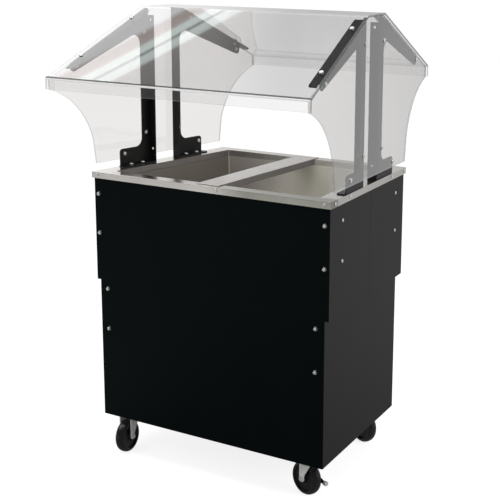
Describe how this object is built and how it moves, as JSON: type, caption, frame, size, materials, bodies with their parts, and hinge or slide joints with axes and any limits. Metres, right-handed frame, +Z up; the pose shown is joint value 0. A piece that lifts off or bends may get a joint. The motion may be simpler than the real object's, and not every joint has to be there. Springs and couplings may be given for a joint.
{
  "type": "mobile salad bar",
  "caption": "Mobile salad bar: a stainless ice well with a lift-off divider bar, in a black cabinet on swivel casters, under a clear gabled food shield.",
  "frame": {"origin": "on the floor, under the middle of the food shield", "axes": "+Z up, front (serving side) towards -Y, right-hand side towards +X; the plan narrows towards +Y"},
  "size_m": [0.863, 0.87, 1.3293],
  "materials": {
    "stainless": "brushed",
    "drain_plastic": "matte",
    "brass": "satin",
    "lever_red": "satin",
    "clear_acrylic": "clear, polished",
    "black_bracket": "satin powder coat",
    "zinc": "zinc plated",
    "wheel_rubber": "satin",
    "steel_fasteners": "polished",
    "black_frame": "matte powder coat",
    "black_panel": "satin powder coat"
  },
  "bodies": {
    "cabinet": {"bottom_shelf": "black_frame", "bracket_front_left": "black_bracket", "bracket_front_right": "black_bracket", "bracket_rear_left": "black_bracket", "bracket_rear_right": "black_bracket", "casing_floor": "black_frame", "caster_bolts": "zinc", "caster_plate_front_left": "zinc", "caster_plate_front_right": "zinc", "caster_plate_rear_left": "zinc", "caster_plate_rear_right": "zinc", "corner_post_front_left": "black_frame", "corner_post_front_right": "black_frame", "corner_post_rear_left": "black_frame", "corner_post_rear_right": "black_frame", "drain_pipe": "drain_plastic", "drain_strainer": "stainless", "drain_valve": "brass", "end_panel_bolts": "steel_fasteners", "end_panel_left": "clear_acrylic", "end_panel_nuts": "steel_fasteners", "end_panel_right": "clear_acrylic", "foot_bolts": "steel_fasteners", "front_panel": "black_panel", "lower_side_left": "black_panel", "lower_side_right": "black_panel", "panel_cup_washers": "steel_fasteners", "panel_screws": "steel_fasteners", "rear_apron": "black_panel", "rim_screws": "steel_fasteners", "roof_bolts": "steel_fasteners", "roof_nuts": "steel_fasteners", "roof_sheet": "clear_acrylic", "side_skirt_front_left": "black_panel", "side_skirt_front_right": "black_panel", "side_skirt_rear_left": "black_panel", "side_skirt_rear_right": "black_panel", "side_uprights": "black_frame", "skirt_screws": "steel_fasteners", "top_frame": "stainless", "well_liner": "stainless"},
    "divider_bar": {"divider_bar": "stainless"},
    "drain_lever": {"drain_lever": "lever_red"},
    "swivel_front_left": {"caster_fork_front_left": "zinc", "caster_axle_front_left": "zinc"},
    "wheel_front_left": {"caster_wheel_front_left": "wheel_rubber"},
    "swivel_front_right": {"caster_fork_front_right": "zinc", "caster_axle_front_right": "zinc"},
    "wheel_front_right": {"caster_wheel_front_right": "wheel_rubber"},
    "brake_front_right": {"brake_lever_front_right": "zinc"},
    "swivel_rear_left": {"caster_fork_rear_left": "zinc", "caster_axle_rear_left": "zinc"},
    "wheel_rear_left": {"caster_wheel_rear_left": "wheel_rubber"},
    "brake_rear_left": {"brake_lever_rear_left": "zinc"},
    "swivel_rear_right": {"caster_fork_rear_right": "zinc", "caster_axle_rear_right": "zinc"},
    "wheel_rear_right": {"caster_wheel_rear_right": "wheel_rubber"}
  },
  "joints": [
    {"name": "divider_bar_lift", "type": "slide", "parent": "cabinet", "child": "divider_bar", "axis": [0, 0, 1], "range_m": [0, 0.12]},
    {"name": "drain_lever_turn", "type": "hinge", "parent": "cabinet", "child": "drain_lever", "pos_m": [0, 0.0295, 0.4575], "axis": [0, 1, 0], "range_deg": [0, 90]},
    {"name": "swivel_front_left", "type": "hinge", "parent": "cabinet", "child": "swivel_front_left", "pos_m": [-0.325, -0.22, 0.117], "axis": [0, 0, 1], "continuous": true},
    {"name": "wheel_front_left_spin", "type": "hinge", "parent": "swivel_front_left", "child": "wheel_front_left", "pos_m": [-0.32186, -0.24984, 0.0505], "axis": [0.9945, 0.1045, 0], "continuous": true},
    {"name": "swivel_front_right", "type": "hinge", "parent": "cabinet", "child": "swivel_front_right", "pos_m": [0.325, -0.22, 0.117], "axis": [0, 0, 1], "continuous": true},
    {"name": "wheel_front_right_spin", "type": "hinge", "parent": "swivel_front_right", "child": "wheel_front_right", "pos_m": [0.29616, -0.21173, 0.0505], "axis": [-0.2756, -0.9613, 0], "continuous": true},
    {"name": "brake_front_right_press", "type": "hinge", "parent": "swivel_front_right", "child": "brake_front_right", "pos_m": [0.29616, -0.21173, 0.0505], "axis": [0.2756, 0.9613, 0], "range_deg": [0, 15]},
    {"name": "swivel_rear_left", "type": "hinge", "parent": "cabinet", "child": "swivel_rear_left", "pos_m": [-0.26891, 0.206, 0.117], "axis": [0, 0, 1], "continuous": true},
    {"name": "wheel_rear_left_spin", "type": "hinge", "parent": "swivel_rear_left", "child": "wheel_rear_left", "pos_m": [-0.26578, 0.17616, 0.0505], "axis": [0.9945, 0.1045, 0], "continuous": true},
    {"name": "brake_rear_left_press", "type": "hinge", "parent": "swivel_rear_left", "child": "brake_rear_left", "pos_m": [-0.26578, 0.17616, 0.0505], "axis": [-0.9945, -0.1045, 0], "range_deg": [0, 15]},
    {"name": "swivel_rear_right", "type": "hinge", "parent": "cabinet", "child": "swivel_rear_right", "pos_m": [0.26891, 0.206, 0.117], "axis": [0, 0, 1], "continuous": true},
    {"name": "wheel_rear_right_spin", "type": "hinge", "parent": "swivel_rear_right", "child": "wheel_rear_right", "pos_m": [0.24072, 0.21626, 0.0505], "axis": [-0.342, -0.9397, 0], "continuous": true}
  ]
}
